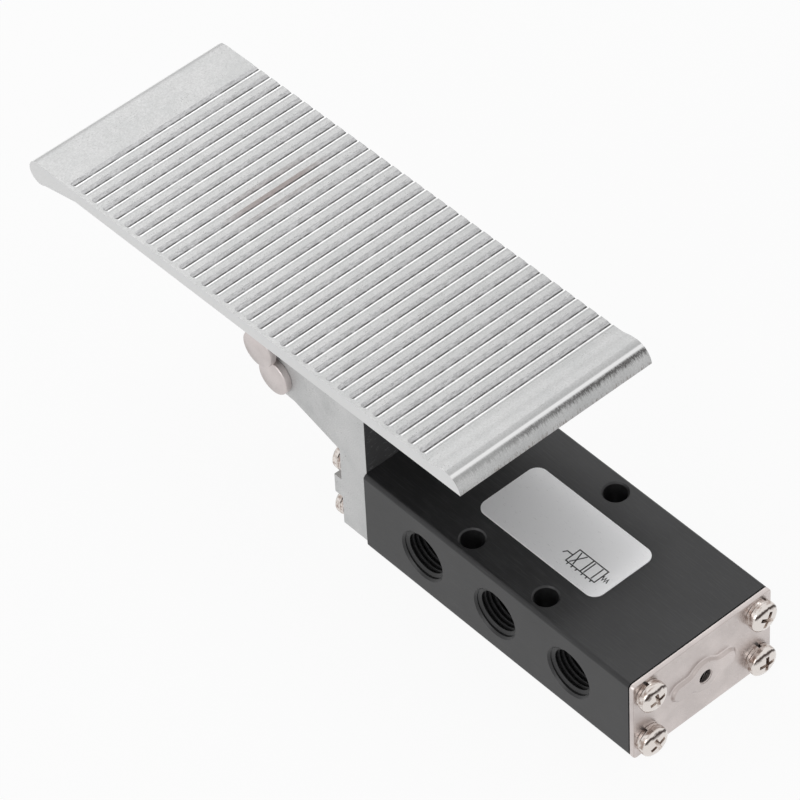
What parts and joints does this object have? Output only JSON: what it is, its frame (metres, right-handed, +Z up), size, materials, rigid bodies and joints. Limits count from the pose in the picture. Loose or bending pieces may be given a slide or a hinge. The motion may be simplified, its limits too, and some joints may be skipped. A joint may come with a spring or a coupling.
{
  "type": "foot pedal air valve",
  "caption": "Foot pedal air valve: ribbed cast pedal on a forked bracket that pushes a spool in a ported block, returned by a spring.",
  "frame": {"origin": "centre of the valve block's bottom face", "axes": "+Z up, +X along the spool towards the end cover, the three ports face -Y, the pedal's toe points to -X"},
  "size_m": [0.2053, 0.06, 0.0625],
  "materials": {
    "black_anodised": "black anodised, fine brushed satin",
    "label_foil": "silver foil with a satin gradient, bare",
    "gasket_rubber": "matt black",
    "nickel_plate": "nickel plated, warm satin",
    "nickel_screws": "bright nickel",
    "cast_bracket": "die-cast, fine satin",
    "bronze_bush": "turned bronze",
    "seal_rubber": "nitrile rubber",
    "nickel_pins": "nickel plated satin",
    "spring_steel": "spring steel",
    "cast_pedal": "die-cast, bright satin with fine pits",
    "spool_aluminium": "turned aluminium",
    "plunger_steel": "ground steel"
  },
  "bodies": {
    "root": {"valve_body": "black_anodised", "name_label": "label_foil", "end_gasket": "gasket_rubber", "end_plate": "nickel_plate", "end_plate_screws": "nickel_screws", "end_plate_washers": "nickel_screws", "bracket": "cast_bracket", "bracket_screws": "nickel_screws", "bracket_washers": "nickel_screws", "plunger_bush": "bronze_bush", "plunger_wiper": "seal_rubber", "pivot_pin": "nickel_pins", "pivot_pin_clip": "spring_steel", "return_spring": "spring_steel"},
    "pedal": {"pedal": "cast_pedal", "stop_pin": "nickel_pins", "stop_pin_clip": "spring_steel"},
    "spool": {"spool": "spool_aluminium", "plunger": "plunger_steel", "spool_seal_1": "seal_rubber", "spool_seal_2": "seal_rubber", "spool_seal_3": "seal_rubber", "spool_seal_4": "seal_rubber", "spool_seal_5": "seal_rubber", "spool_seal_6": "seal_rubber"}
  },
  "joints": [
    {"name": "pedal_pivot", "type": "hinge", "parent": "root", "child": "pedal", "pos_m": [-0.0787, 0, 0.0321], "axis": [0, -1, 0], "range_deg": [0, 14], "stiffness_Nm_per_rad": 1.2, "springref_deg": -20.05},
    {"name": "spool_slide", "type": "slide", "parent": "root", "child": "spool", "axis": [1, 0, 0], "range_m": [0, 0.00497], "deforming": ["return_spring"]}
  ],
  "couplings": [
    {"joint": "spool_slide", "follows": "pedal_pivot", "m_per_rad": 0.020338}
  ]
}
